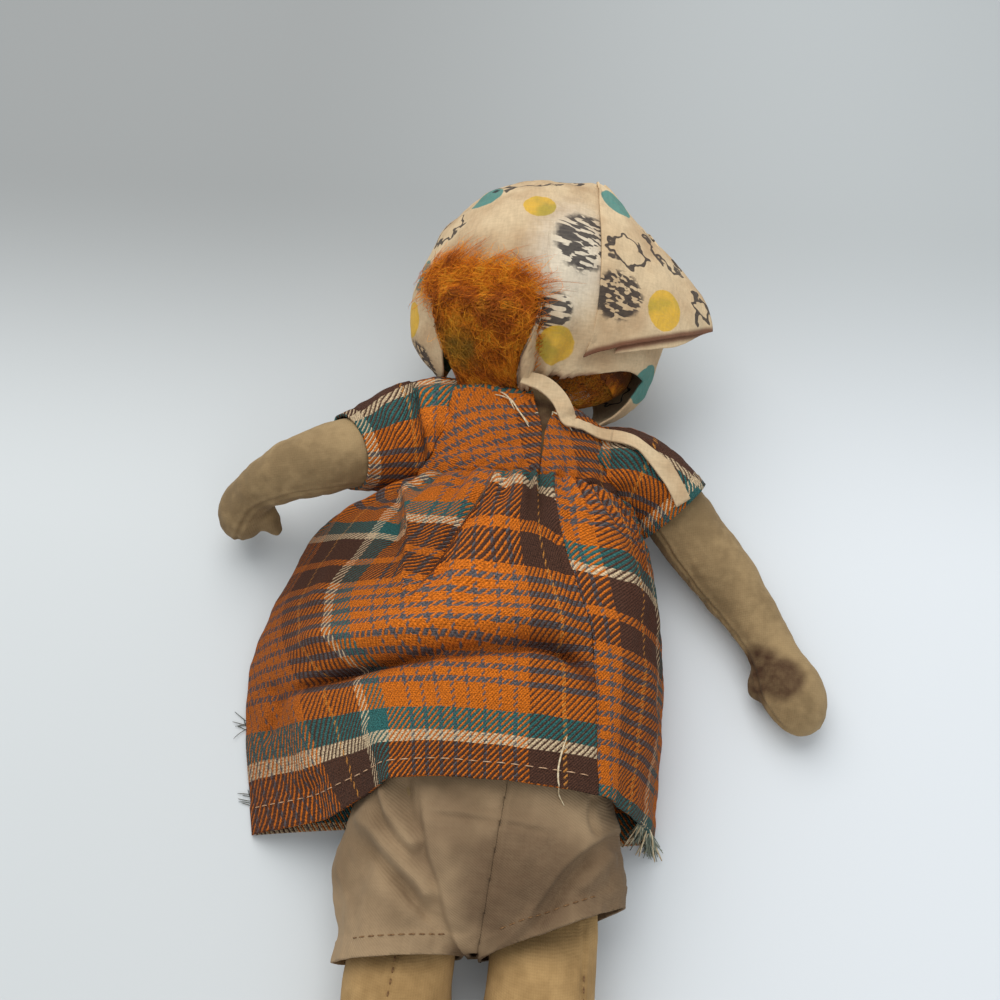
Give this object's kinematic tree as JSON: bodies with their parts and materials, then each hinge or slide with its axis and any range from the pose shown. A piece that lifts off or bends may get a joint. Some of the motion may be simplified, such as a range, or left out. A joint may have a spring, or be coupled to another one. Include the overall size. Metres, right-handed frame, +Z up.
{
  "type": "rag doll",
  "caption": "Soft cloth doll lying face down, in a plaid dress, long bloomers and a printed kerchief over tufted hair; stuffed head, arms and legs swing at sewn seams.",
  "frame": {"origin": "on the surface the doll lies on, under the middle of its body, at the flat underside of the skirt front", "axes": "+Y from the feet to the head, +X to the doll's right, +Z up out of its back"},
  "size_m": [0.2439, 0.4628, 0.0907],
  "materials": {
    "body_cotton": "matte",
    "leg_cotton": "matte",
    "stuffing": "matte",
    "plaid_twill": "matte",
    "beige_twill": "matte",
    "elastic": "matte",
    "mohair": "matte",
    "printed_cotton": "matte"
  },
  "bodies": {
    "torso": {"torso_skin": "body_cotton", "torso_stuffing": "stuffing", "bodice_front": "plaid_twill", "bodice_back_left": "plaid_twill", "bodice_back_right": "plaid_twill", "sleeve_left": "plaid_twill", "sleeve_right": "plaid_twill", "skirt_back": "plaid_twill", "skirt_side": "plaid_twill", "skirt_front": "plaid_twill", "bloomers_left": "beige_twill", "bloomers_right": "beige_twill", "waist_elastic": "elastic", "shoulder_seam_left": "body_cotton", "shoulder_seam_right": "body_cotton", "hip_seam_left": "body_cotton", "hip_seam_right": "body_cotton"},
    "head": {"head_skin": "body_cotton", "head_stuffing": "stuffing", "hair": "mohair", "kerchief_hood": "printed_cotton", "kerchief_wing": "printed_cotton", "kerchief_tie": "printed_cotton"},
    "arm_left": {"arm_left_skin": "body_cotton", "arm_left_stuffing": "stuffing"},
    "arm_right": {"arm_right_skin": "body_cotton", "arm_right_stuffing": "stuffing"},
    "leg_left": {"leg_left_skin": "leg_cotton", "leg_left_stuffing": "stuffing"},
    "leg_right": {"leg_right_skin": "leg_cotton", "leg_right_stuffing": "stuffing"}
  },
  "joints": [
    {"name": "neck_nod", "type": "hinge", "parent": "torso", "child": "head", "pos_m": [0.001, 0.125, 0.034], "axis": [1, 0, 0], "range_deg": [-20, 20], "deforming": ["kerchief_hood", "hair", "kerchief_tie"]},
    {"name": "shoulder_left_swing", "type": "hinge", "parent": "torso", "child": "arm_left", "pos_m": [-0.0415, 0.105, 0.03], "axis": [0, 1, 0], "range_deg": [-45, 40], "deforming": ["sleeve_left", "shoulder_seam_left"]},
    {"name": "shoulder_right_swing", "type": "hinge", "parent": "torso", "child": "arm_right", "pos_m": [0.0415, 0.099, 0.03], "axis": [0, 1, 0], "range_deg": [-50, 25], "deforming": ["sleeve_right", "shoulder_seam_right"]},
    {"name": "hip_left_swing", "type": "hinge", "parent": "torso", "child": "leg_left", "pos_m": [-0.0225, -0.0625, 0.021], "axis": [1, 0, 0], "range_deg": [-50, 80], "deforming": ["bloomers_left", "hip_seam_left"]},
    {"name": "hip_right_swing", "type": "hinge", "parent": "torso", "child": "leg_right", "pos_m": [0.0225, -0.0625, 0.021], "axis": [1, 0, 0], "range_deg": [-50, 80], "deforming": ["bloomers_right", "hip_seam_right"]}
  ]
}
